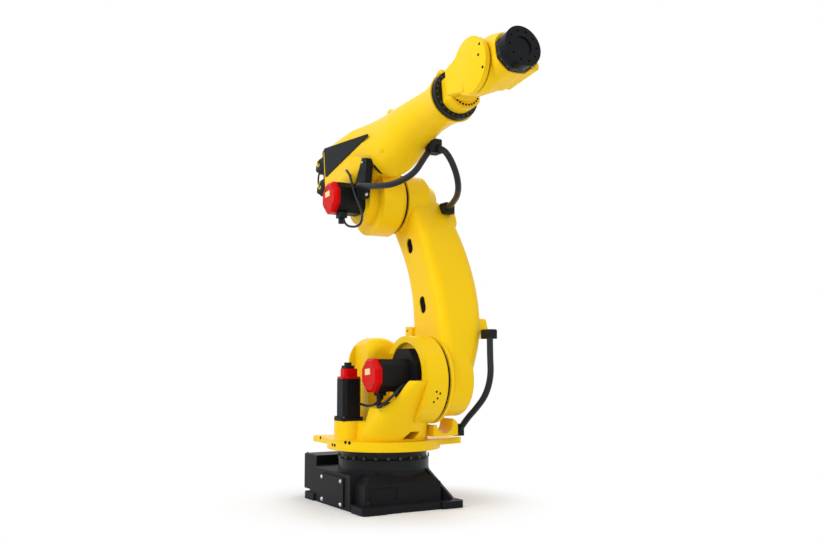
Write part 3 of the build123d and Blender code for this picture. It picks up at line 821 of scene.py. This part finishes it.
@dataclass(frozen=True)
class Base:
    """The black base that is bolted to the floor.

    Args:
        ring_count: Number of screws around the bearing ring.
        ring_radius: Outer radius of the bearing ring.
        ring_level: Height of its row of screws.
        ring_screw: Radius and height of their heads.
        cover_spots: Screws of the side cover in the photograph.
        cover_bolt: Radius and height of their heads.
        sockets: Sideways place, height and radius of each socket on the rear panel.
        lid_inset: Distance of the lid's screws from its edges.
        lid_row: Distance of their second row from the rear edge.
        lid_screw: Radius and height of their heads.
    """

    ring_count: int = 24
    ring_radius: float = 0.270
    ring_level: float = 0.286
    ring_screw: tuple[float, float] = (0.0090, 0.004)
    cover_spots: Spots = ((322.5, 476.5), (341.0, 481.4), (321.8, 498.7), (341.0, 504.4))
    cover_bolt: tuple[float, float] = (0.013, 0.008)
    sockets: tuple[tuple[float, float, float], ...] = (
        (-0.19, 0.16, 0.034),
        (-0.09, 0.16, 0.034),
        (0.02, 0.165, 0.026),
        (0.10, 0.165, 0.026),
        (0.18, 0.165, 0.022),
        (0.02, 0.105, 0.018),
        (0.10, 0.105, 0.018),
    )
    lid_inset: float = 0.018
    lid_row: float = 0.10
    lid_screw: tuple[float, float] = (0.007, 0.004)

    def build(self) -> None:
        """Dresses the base and adds its fasteners and sockets."""
        BASE_BLACK.dress("base_casting", "connector_box", "base_side_cover")
        RING_STEEL.dress("base_ring")
        MOULDED_BLACK.dress("connector_panel")
        self._ring()
        cover = VIEW.seats(self.cover_spots, "base_side_cover")
        piece = Piece("cover_bolts", BOLT_STEEL, Slot.STEEL, Body.BASE)
        piece.turned(washer_bolt(*self.cover_bolt), cover)
        self._sockets()
        self._lid()

    def _ring(self) -> None:
        """Adds the row of screws around the bearing ring."""
        level = UPWARD * self.ring_level
        half_step = 180 / self.ring_count
        ways = directions(FORWARD, SIDEWAYS, self.ring_count, half_step)
        seats = [Seat(way * self.ring_radius + level, way) for way in ways]
        piece = Piece("ring_screws", BOLT_BLACK, Slot.STEEL, Body.BASE)
        piece.turned(cap_screw(*self.ring_screw), seats)

    def _sockets(self) -> None:
        """Adds the round sockets of the rear panel."""
        low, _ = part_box("connector_panel")
        for index, (y, z, radius) in enumerate(self.sockets):
            piece = Piece(f"rear_socket_{index}", RING_STEEL, Slot.STEEL, Body.BASE)
            seat = Seat(Vector((low.x, y, z)), -FORWARD)
            piece.turned(panel_socket(radius), [seat], SOCKET_SIDES)

    def _lid(self) -> None:
        """Adds the screws of the connector box's lid."""
        low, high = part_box("connector_box")
        seats = [
            Seat(Vector((x, y, high.z)), UPWARD)
            for x in (low.x + self.lid_inset, low.x + self.lid_row)
            for y in (low.y + self.lid_inset, 0.0, high.y - self.lid_inset)
        ]
        piece = Piece("box_lid_screws", BOLT_BLACK, Slot.STEEL, Body.BASE)
        piece.turned(cap_screw(*self.lid_screw), seats)


@dataclass(frozen=True)
class EndCap:
    """Screws and blank label on the red end cap of a motor.

    Args:
        motor: Name of the motor in the CAD nodes.
        body: The body that carries it.
        label_shift: How far the label lies from the cap's middle, forward and up.
        circle: Radius of the circle of screws.
        screws: Number of them.
        start: Angle of the first one, in degrees.
        screw: Radius and height of their heads.
        label: Length, width and thickness of the label.
        label_corner: Radius of its corners.
        label_lean: Rise of the label's long side.
    """

    motor: str
    body: Body
    label_shift: tuple[float, float]
    circle: float = 0.072
    screws: int = 4
    start: float = 45.0
    screw: tuple[float, float] = (0.006, 0.003)
    label: tuple[float, float, float] = (0.062, 0.034, 0.0012)
    label_corner: float = 0.004
    label_lean: float = 0.1

    def build(self) -> None:
        """Adds the screws and the label."""
        low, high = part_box(f"{self.motor}_cap")
        centre = Vector(((low.x + high.x) / 2, low.y, (low.z + high.z) / 2))
        seats = circle_seats(centre, -SIDEWAYS, self.circle, self.screws, self.start)
        piece = Piece(f"{self.motor}_cap_screws", BOLT_BLACK, Slot.STEEL, self.body)
        piece.turned(cap_screw(*self.screw), seats)
        ahead, above = self.label_shift
        middle = centre + FORWARD * ahead + UPWARD * above
        seat = Seat(middle, -SIDEWAYS, FORWARD + UPWARD * self.label_lean)
        piece = Piece(f"{self.motor}_cap_label", LABEL_PALE, Slot.RED, self.body)
        piece.plate(seat, self.label, self.label_corner)


@dataclass(frozen=True)
class Turret:
    """The turning column with its two motors.

    Args:
        ear_spots: Drilled holes at the edge of the disc in the photograph.
        ear_hole: Their radius.
        boss_spots: Small holes on the shoulder boss in the photograph.
        boss_hole: Their radius.
        flange_half: Half the pitch of the first motor's flange bolts.
        flange_top: Height of its flange.
        flange_bolt: Radius and height of their heads.
        cable: Diameter of the cables under the second motor.
        cables: Their routes, in metres.
    """

    ear_spots: Spots = (
        (320.5, 437.7),
        (345.5, 442.5),
        (349.4, 443.0),
        (332.4, 444.8),
        (334.8, 445.3),
    )
    ear_hole: float = 0.009
    boss_spots: Spots = ((436.7, 391.8), (440.3, 393.5), (437.6, 398.4), (433.8, 402.0))
    boss_hole: float = 0.006
    flange_half: float = 0.056
    flange_top: float = 0.016
    flange_bolt: tuple[float, float] = (0.009, 0.009)
    cable: float = 0.014
    cables: tuple[Route, ...] = (
        (
            (0.283, -0.176, 0.628),
            (0.288, -0.190, 0.598),
            (0.330, -0.205, 0.590),
            (0.390, -0.200, 0.612),
            (0.436, -0.165, 0.660),
            (0.432, -0.125, 0.705),
            (0.412, -0.030, 0.728),
        ),
        (
            (0.297, -0.176, 0.628),
            (0.306, -0.206, 0.592),
            (0.350, -0.222, 0.580),
            (0.402, -0.212, 0.606),
            (0.446, -0.176, 0.655),
            (0.438, -0.130, 0.700),
            (0.404, -0.030, 0.716),
        ),
        (
            (0.272, -0.176, 0.628),
            (0.262, -0.192, 0.596),
            (0.200, -0.204, 0.586),
            (0.140, -0.214, 0.590),
            (0.100, -0.215, 0.598),
        ),
    )

    def build(self) -> None:
        """Dresses the turret and adds its holes, screws and cables."""
        CASTING_YELLOW.dress("turret_casting")
        RING_STEEL.dress("shoulder_ring")
        MOTOR_BLACK.dress("motor1_body", "motor2_body", "motor2_adaptor")
        MOTOR_RED.dress("motor1_cap", "motor2_cap")
        MOULDED_BLACK.dress("motor1_connector", "motor2_connector", "turret_hose_clamp")
        BASE_BLACK.dress("cable_tray")
        # Flat dark discs of painted shade stand for the ear and boss holes.
        for name, spots, radius in (
            ("ear_holes", self.ear_spots, self.ear_hole),
            ("boss_holes", self.boss_spots, self.boss_hole),
        ):
            seats = VIEW.seats(spots, "turret_casting")
            piece = Piece(name, PAINTED_HOLE_SHADE, Slot.STEEL, Body.TURRET)
            piece.turned(drilled_hole(radius), seats, HOLE_SIDES)
        EndCap("motor2", Body.TURRET, (-0.012, 0.020)).build()
        self._flange()
        for index, route in enumerate(self.cables):
            Flex(f"motor2_cable_{index}", route, self.cable).build(Body.TURRET)

    def _flange(self) -> None:
        """Adds the bolts that hold the first motor."""
        low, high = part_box("motor1_body")
        middle = Vector(((low.x + high.x) / 2, (low.y + high.y) / 2, low.z + self.flange_top))
        half = self.flange_half
        seats = [
            Seat(middle + FORWARD * x + SIDEWAYS * y, UPWARD)
            for x in (-half, half)
            for y in (-half, half)
        ]
        piece = Piece("motor1_flange_bolts", BOLT_BLACK, Slot.STEEL, Body.TURRET)
        piece.turned(cap_screw(*self.flange_bolt), seats)


@dataclass(frozen=True)
class LowerArm:
    """The leaning arm between the shoulder and the elbow.

    Args:
        holes: Each access hole's distance from the shoulder, distance ahead of the line
            between the axes, and length.
        width: Width of the holes.
        mouth: Sideways place of their mouths.
        depth: How deep behind the mouth the shade lies.
        thickness: Thickness of the shade.
        gap: How much shorter and narrower than the hole the shade is.
    """

    holes: tuple[tuple[float, float, float], ...] = ((0.860, 0.040, 0.098), (0.455, 0.054, 0.108))
    width: float = 0.062
    mouth: float = 0.174
    depth: float = 0.004
    thickness: float = 0.003
    gap: float = 0.001

    def build(self) -> None:
        """Dresses the arm and darkens its access holes."""
        CASTING_YELLOW.dress("lower_arm_casting", "stop_block")
        RING_STEEL.dress("elbow_ring")
        MOULDED_BLACK.dress("shoulder_hose_clamp", "elbow_hose_clamp")
        shoulder, elbow = Axle.of("shoulder_swing").origin, Axle.of("elbow_swing").origin
        up = (elbow - shoulder).normalized()
        ahead = Vector((up.z, 0, -up.x))
        for index, (station, lead, length) in enumerate(self.holes):
            middle = shoulder + up * station + ahead * lead + SIDEWAYS * (self.mouth + self.depth)
            size = (length - self.gap, self.width - self.gap, self.thickness)
            # A dark plate of painted shade sits behind the mouth of each access hole.
            piece = Piece(f"access_hole_shade_{index}", PAINTED_HOLE_SHADE, Slot.PLASTIC, Body.LOWER_ARM)
            piece.plate(Seat(middle, -SIDEWAYS, up), size, self.width / 2 - self.gap)


@dataclass(frozen=True)
class Forearm:
    """The tapered forearm with its four motors.

    Args:
        plug_spots: Raised plug on the side in the photograph.
        plug: Radius and height of each corner of the plug's profile.
        opening_spots: Dark opening beside the motor bracket in the photograph, drawn as painted
            shade.
        opening: Length and width of the opening.
        opening_lean: How far the top of the opening leans ahead.
        bracket_spots: Screws of the motor bracket in the photograph.
        bracket_bolt: Radius and height of their heads.
        ring_station: Distance of the wrist ring's face ahead of its joint.
        ring_circle: Radius of its circle of screws.
        ring_count: Number of them.
        ring_screw: Radius and height of their heads.
        hooks: Routes of the two wire hooks on the rear motors.
        hook_wire: Radius of the hooks' wire.
        motor_cable: Route of the third motor's cable, in metres.
        motor_cable_size: Its diameter.
        rear_cables: Routes of the cables between the rear motors.
        rear_cable_size: Their diameter.
    """

    plug_spots: Spots = ((381.0, 149.0),)
    plug: Profile = ((0, 0.005), (0.016, 0.005), (0.020, 0.003), (0.021, -0.003))
    opening_spots: Spots = ((377.5, 170.0),)
    opening: tuple[float, float] = (0.082, 0.040)
    opening_lean: float = 0.12
    bracket_spots: Spots = ((362.6, 162.6), (366.5, 194.5))
    bracket_bolt: tuple[float, float] = (0.010, 0.006)
    ring_station: float = 0.0182
    ring_circle: float = 0.1235
    ring_count: int = 24
    ring_screw: tuple[float, float] = (0.0062, 0.003)
    hooks: tuple[Route, ...] = (
        (
            (-0.606, -0.172, 2.178),
            (-0.608, -0.182, 2.174),
            (-0.606, -0.182, 2.140),
            (-0.600, -0.182, 2.130),
            (-0.580, -0.182, 2.132),
            (-0.576, -0.182, 2.148),
        ),
        (
            (-0.580, -0.172, 2.024),
            (-0.582, -0.182, 2.020),
            (-0.580, -0.182, 1.986),
            (-0.574, -0.182, 1.976),
            (-0.554, -0.182, 1.978),
            (-0.550, -0.182, 1.994),
        ),
    )
    hook_wire: float = 0.0035
    motor_cable: Route = (
        (-0.060, -0.248, 1.700),
        (-0.010, -0.262, 1.655),
        (0.090, -0.252, 1.630),
        (0.158, -0.238, 1.640),
        (0.155, -0.228, 1.705),
        (0.100, -0.232, 1.780),
        (0.072, -0.246, 1.850),
        (0.062, -0.256, 1.915),
        (0.020, -0.256, 1.975),
        (-0.070, -0.235, 2.012),
        (-0.130, -0.172, 1.990),
    )
    motor_cable_size: float = 0.014
    rear_cables: tuple[Route, ...] = (
        (
            (-0.682, -0.134, 2.112),
            (-0.698, -0.134, 2.088),
            (-0.698, -0.134, 2.040),
            (-0.688, -0.134, 2.020),
            (-0.664, -0.134, 2.006),
        ),
        (
            (-0.682, -0.112, 2.136),
            (-0.694, -0.060, 2.122),
            (-0.696, 0.010, 2.108),
            (-0.672, 0.036, 2.083),
        ),
    )
    rear_cable_size: float = 0.012

    def build(self) -> None:
        """Dresses the forearm and adds its details."""
        CASTING_YELLOW.dress("forearm_casting", "lifting_lugs")
        RING_STEEL.dress("wrist_ring")
        BASE_BLACK.dress("rear_plate", "side_panel", "motor_bracket")
        MOTOR_BLACK.dress("motor3_body", "motor4_body", "motor5_body", "motor6_body")
        MOTOR_RED.dress("motor3_cap")
        MOULDED_BLACK.dress("motor3_connector", "motor4_connector", "motor5_connector")
        MOULDED_BLACK.dress("motor6_connector", "forearm_hose_clamp")
        self._side()
        EndCap("motor3", Body.FOREARM, (-0.010, 0.024)).build()
        self._ring()
        self._cables()

    def _side(self) -> None:
        """Adds the plug, a patch of painted shade for the opening and the bracket's screws on the
        near side.
        """
        plug = VIEW.seats(self.plug_spots, "forearm_casting")
        piece = Piece("side_plug", CASTING_YELLOW, Slot.YELLOW, Body.FOREARM)
        piece.turned(self.plug, plug, SOCKET_SIDES)
        lean = UPWARD + FORWARD * self.opening_lean
        # A brown patch of painted shade on the casting stands for the shaded inside of the
        # opening.
        for seat in VIEW.seats(self.opening_spots, "forearm_casting"):
            piece = Piece("side_opening_shade", PAINTED_OPENING_SHADE, Slot.PLASTIC, Body.FOREARM)
            piece.patch(Seat(seat.point, seat.out, lean), "forearm_casting", self.opening)
        bracket = VIEW.seats(self.bracket_spots, "motor_bracket")
        piece = Piece("bracket_screws", BOLT_STEEL, Slot.STEEL, Body.FOREARM)
        piece.turned(washer_bolt(*self.bracket_bolt), bracket)

    def _ring(self) -> None:
        """Adds the row of screws on the wrist ring's face."""
        axle = Axle.of("wrist_turn")
        centre = axle.at(self.ring_station)
        seats = circle_seats(centre, axle.along, self.ring_circle, self.ring_count)
        piece = Piece("wrist_ring_screws", BOLT_BLACK, Slot.STEEL, Body.FOREARM)
        piece.turned(cap_screw(*self.ring_screw), seats)

    def _cables(self) -> None:
        """Adds the hooks and cables of the motors."""
        for index, route in enumerate(self.hooks, start=4):
            piece = Piece(f"motor{index}_hook", HOOK_YELLOW, Slot.PLASTIC, Body.FOREARM)
            piece.add(tube_mesh(piece.name, route, self.hook_wire))
        Flex("motor3_cable", self.motor_cable, self.motor_cable_size).build(Body.FOREARM)
        for index, route in enumerate(self.rear_cables):
            Flex(f"rear_cable_{index}", route, self.rear_cable_size).build(Body.FOREARM)


@dataclass(frozen=True)
class Wrist:
    """The wrist with its round cheek and tool flange.

    Args:
        cheek_spots: Small holes on the round cheek in the photograph.
        cheek_hole: Their radius.
        hub_station: Distance of the hub's face ahead of its joint.
        hub_circle: Radius of its circle of screws.
        hub_count: Number of them.
        hub_screw: Radius and height of their heads.
        flat_station: Distance of the tool ring's middle ahead of the bend.
        flat_radius: Distance of its flats from the tool's axis.
        flat_count: Number of flats.
        flat_shift: How far the two screws of a flat stand from its middle.
        flat_screw: Radius and height of their heads.
    """

    cheek_spots: Spots = ((478.2, 54.7), (482.5, 67.0), (479.2, 43.8))
    cheek_hole: float = 0.007
    hub_station: float = 0.099
    hub_circle: float = 0.091
    hub_count: int = 30
    hub_screw: tuple[float, float] = (0.0058, 0.003)
    flat_station: float = 0.208
    flat_radius: float = 0.101
    flat_count: int = 8
    flat_shift: float = 0.024
    flat_screw: tuple[float, float] = (0.006, 0.003)

    def build(self) -> None:
        """Dresses the wrist and adds its holes and rows of screws."""
        CASTING_YELLOW.dress("wrist_hub", "wrist_housing")
        RING_STEEL.dress("bend_ring", "tool_ring")
        FLANGE_BLACK.dress("tool_flange")
        # Flat dark discs of painted shade stand for the cheek holes.
        cheek = VIEW.seats(self.cheek_spots, "wrist_hub")
        piece = Piece("cheek_holes", PAINTED_HOLE_SHADE, Slot.STEEL, Body.WRIST_ROLL)
        piece.turned(drilled_hole(self.cheek_hole), cheek, HOLE_SIDES)
        hub = Axle.of("wrist_turn")
        seats = circle_seats(hub.at(self.hub_station), hub.along, self.hub_circle, self.hub_count)
        # The hub's screws take the painted shade of the dark holes they sit in.
        piece = Piece("hub_screws", PAINTED_HOLE_SHADE, Slot.STEEL, Body.WRIST_ROLL)
        piece.turned(cap_screw(*self.hub_screw), seats)
        self._flats()

    def _flats(self) -> None:
        """Adds two screws to each flat of the tool ring."""
        tool = Axle(Axle.of("wrist_bend").origin, Axle.of("tool_turn").along)
        seats = []
        for way in directions(SIDEWAYS, tool.up, self.flat_count):
            middle = tool.at(self.flat_station) + way * self.flat_radius
            side = tool.along.cross(way) * self.flat_shift
            seats += [Seat(middle - side, way), Seat(middle + side, way)]
        piece = Piece("tool_ring_screws", BOLT_BLACK, Slot.STEEL, Body.WRIST_PITCH)
        piece.turned(cap_screw(*self.flat_screw), seats)


@dataclass(frozen=True)
class Hoses:
    """The three large hoses, on the same routes as in the part's source.

    Args:
        shoulder: From the lower arm down to the turret.
        shoulder_length: Its real length.
        elbow: From the forearm to the lower arm.
        elbow_length: Its real length.
        forearm: Along the near side of the forearm.
        forearm_length: Its real length.
        diameter: Outer diameter of all three.
    """

    shoulder: Route = (
        (0.496, 0.436, 0.972),
        (0.511, 0.426, 0.865),
        (0.538, 0.412, 0.757),
        (0.508, 0.398, 0.648),
        (0.424, 0.384, 0.566),
        (0.346, 0.372, 0.506),
        (0.292, 0.362, 0.446),
    )
    shoulder_length: float = 0.628
    elbow: Route = (
        (0.450, 0.098, 2.080),
        (0.520, 0.102, 2.058),
        (0.560, 0.124, 2.002),
        (0.556, 0.170, 1.918),
        (0.500, 0.222, 1.852),
        (0.412, 0.270, 1.818),
        (0.300, 0.318, 1.806),
        (0.200, 0.358, 1.800),
        (0.112, 0.390, 1.796),
    )
    elbow_length: float = 0.763
    forearm: Route = (
        (0.062, -0.206, 1.890),
        (0.190, -0.207, 1.866),
        (0.320, -0.196, 1.845),
        (0.430, -0.165, 1.840),
        (0.510, -0.085, 1.892),
        (0.490, -0.010, 1.990),
        (0.432, 0.062, 2.058),
    )
    forearm_length: float = 0.727
    diameter: float = 0.037

    def build(self) -> None:
        """Builds the hoses in place of their CAD tubes."""
        for node, route, length, body, joins in (
            ("shoulder_hose", self.shoulder, self.shoulder_length, Body.LOWER_ARM, Body.TURRET),
            ("elbow_hose", self.elbow, self.elbow_length, Body.FOREARM, Body.LOWER_ARM),
            ("forearm_hose", self.forearm, self.forearm_length, Body.FOREARM, None),
        ):
            Flex(f"{node}_run", route, self.diameter, length).build(body, joins, node)


# Surroundings


@dataclass(frozen=True)
class Lamp:
    """One soft lamp that looks at the arm.

    Args:
        name: Name of the lamp.
        place: Where it hangs, in metres.
        size: Its width, in metres.
        power: Its power, in watts.
        aim: The point that it looks at.
    """

    name: str
    place: tuple[float, float, float]
    size: float
    power: float
    aim: tuple[float, float, float] = (0.2, 0, 1.2)

    def build(self) -> None:
        """Hangs the lamp."""
        data = bpy.data.lights.new(self.name, "AREA")
        data.size = self.size
        data.energy = self.power
        lamp = bpy.data.objects.new(self.name, data)
        lamp.location = self.place
        look = Vector(self.aim) - Vector(self.place)
        lamp.rotation_euler = look.to_track_quat("-Z", "Y").to_euler()
        bpy.context.scene.collection.objects.link(lamp)


@dataclass(frozen=True)
class Studio:
    """Floor, world and lamps of a plain product picture.

    Args:
        floor_radius: Radius of the floor disc.
        floor_sides: Number of its sides.
        floor_drop: How far it lies below the part's underside.
        floor_shade: Lightness of its paint.
        fade: Distances from the middle at which its paint starts and ends fading to white.
        ambient: Strength of the world on the object.
        white: Colour of the background.
        lamps: The lamps.
    """

    floor_radius: float = 14.0
    floor_sides: int = 96
    floor_drop: float = 0.0005
    floor_shade: float = 0.93
    fade: tuple[float, float] = (0.50, 1.05)
    ambient: float = 0.62
    white: tuple[float, float, float, float] = (1.0, 1.0, 1.0, 1.0)
    lamps: tuple[Lamp, ...] = (
        Lamp("key", (1.2, -4.6, 5.2), 3.6, 190.0),
        Lamp("side", (6.2, 1.6, 3.2), 3.0, 55.0),
        Lamp("back", (-4.0, 3.2, 4.4), 3.0, 90.0),
    )

    def build(self) -> None:
        """Builds the floor, world and lamps."""
        self._floor()
        self._world()
        for lamp in self.lamps:
            lamp.build()

    def _seen(self, graph: Graph) -> bpy.types.NodeSocket:
        """Adds nodes that tell the rays which see plain white.

        Args:
            graph: The node tree.

        Returns:
            A socket that is 1 for those rays and 0 for all others.
        """
        path = graph.node("ShaderNodeLightPath")
        seen = path.outputs[Ray.CAMERA.value]
        for ray in (Ray.GLOSSY, Ray.TRANSMISSION):
            either = graph.node("ShaderNodeMath", operation="MAXIMUM")
            graph.link(seen, either.inputs[0])
            graph.link(path.outputs[ray.value], either.inputs[1])
            seen = either.outputs["Value"]
        return seen

    def _paint(self) -> bpy.types.Material:
        """Makes the floor's pale paint, which fades to white away from the robot.

        Returns:
            The material.
        """
        material = bpy.data.materials.new("floor_white")
        material.use_nodes = True
        graph = Graph(material.node_tree)
        shade = (self.floor_shade, self.floor_shade, self.floor_shade, 1.0)
        paint = graph.node("ShaderNodeBsdfDiffuse", {"Color": shade})
        glow = graph.node("ShaderNodeEmission", {"Color": self.white, "Strength": 1.0})
        place = graph.node("ShaderNodeTexCoord")
        away = graph.node("ShaderNodeVectorMath", operation="LENGTH")
        ends = {"From Min": self.fade[0], "From Max": self.fade[1]}
        fade = graph.node("ShaderNodeMapRange", ends, interpolation_type="SMOOTHSTEP")
        both = graph.node("ShaderNodeMath", operation="MULTIPLY")
        mix = graph.node("ShaderNodeMixShader")
        output = graph.node("ShaderNodeOutputMaterial")
        graph.link(place.outputs["Object"], away.inputs[0])
        graph.link(away.outputs["Value"], fade.inputs["Value"])
        graph.link(fade.outputs["Result"], both.inputs[0])
        graph.link(self._seen(graph), both.inputs[1])
        graph.link(both.outputs["Value"], mix.inputs["Fac"])
        graph.link(paint.outputs["BSDF"], mix.inputs[1])
        graph.link(glow.outputs["Emission"], mix.inputs[2])
        graph.link(mix.outputs["Shader"], output.inputs["Surface"])
        return material

    def _floor(self) -> None:
        """Builds the round floor."""
        bm = bmesh.new()
        size = {"segments": self.floor_sides, "radius": self.floor_radius}
        bmesh.ops.create_circle(bm, cap_ends=True, **size)
        mesh = released(bm, "floor")
        mesh.materials.append(self._paint())
        floor = bpy.data.objects.new("floor", mesh)
        floor.location.z = -self.floor_drop
        bpy.context.scene.collection.objects.link(floor)

    def _world(self) -> None:
        """Builds a world that is white to the eye and plain to the object."""
        world = bpy.data.worlds.new("studio")
        world.use_nodes = True
        bpy.context.scene.world = world
        graph = Graph(world.node_tree)
        light = graph.node("ShaderNodeBackground", {"Color": self.white, "Strength": self.ambient})
        back = graph.node("ShaderNodeBackground", {"Color": self.white, "Strength": 1.0})
        mix = graph.node("ShaderNodeMixShader")
        output = graph.node("ShaderNodeOutputWorld")
        graph.link(self._seen(graph), mix.inputs["Fac"])
        graph.link(light.outputs["Background"], mix.inputs[1])
        graph.link(back.outputs["Background"], mix.inputs[2])
        graph.link(mix.outputs["Shader"], output.inputs["Surface"])


def main() -> None:
    """Builds the whole picture in order."""
    logging.basicConfig(level=logging.INFO, format="%(name)s %(message)s")
    bpy.context.view_layer.update()
    bpy.context.scene.view_settings.view_transform = "Standard"
    for assembly in (Base(), Turret(), LowerArm(), Forearm(), Wrist(), Hoses(), Studio()):
        assembly.build()
        log.info("built %s", type(assembly).__name__)
    VIEW.camera()


if __name__ == "__main__":
    main()
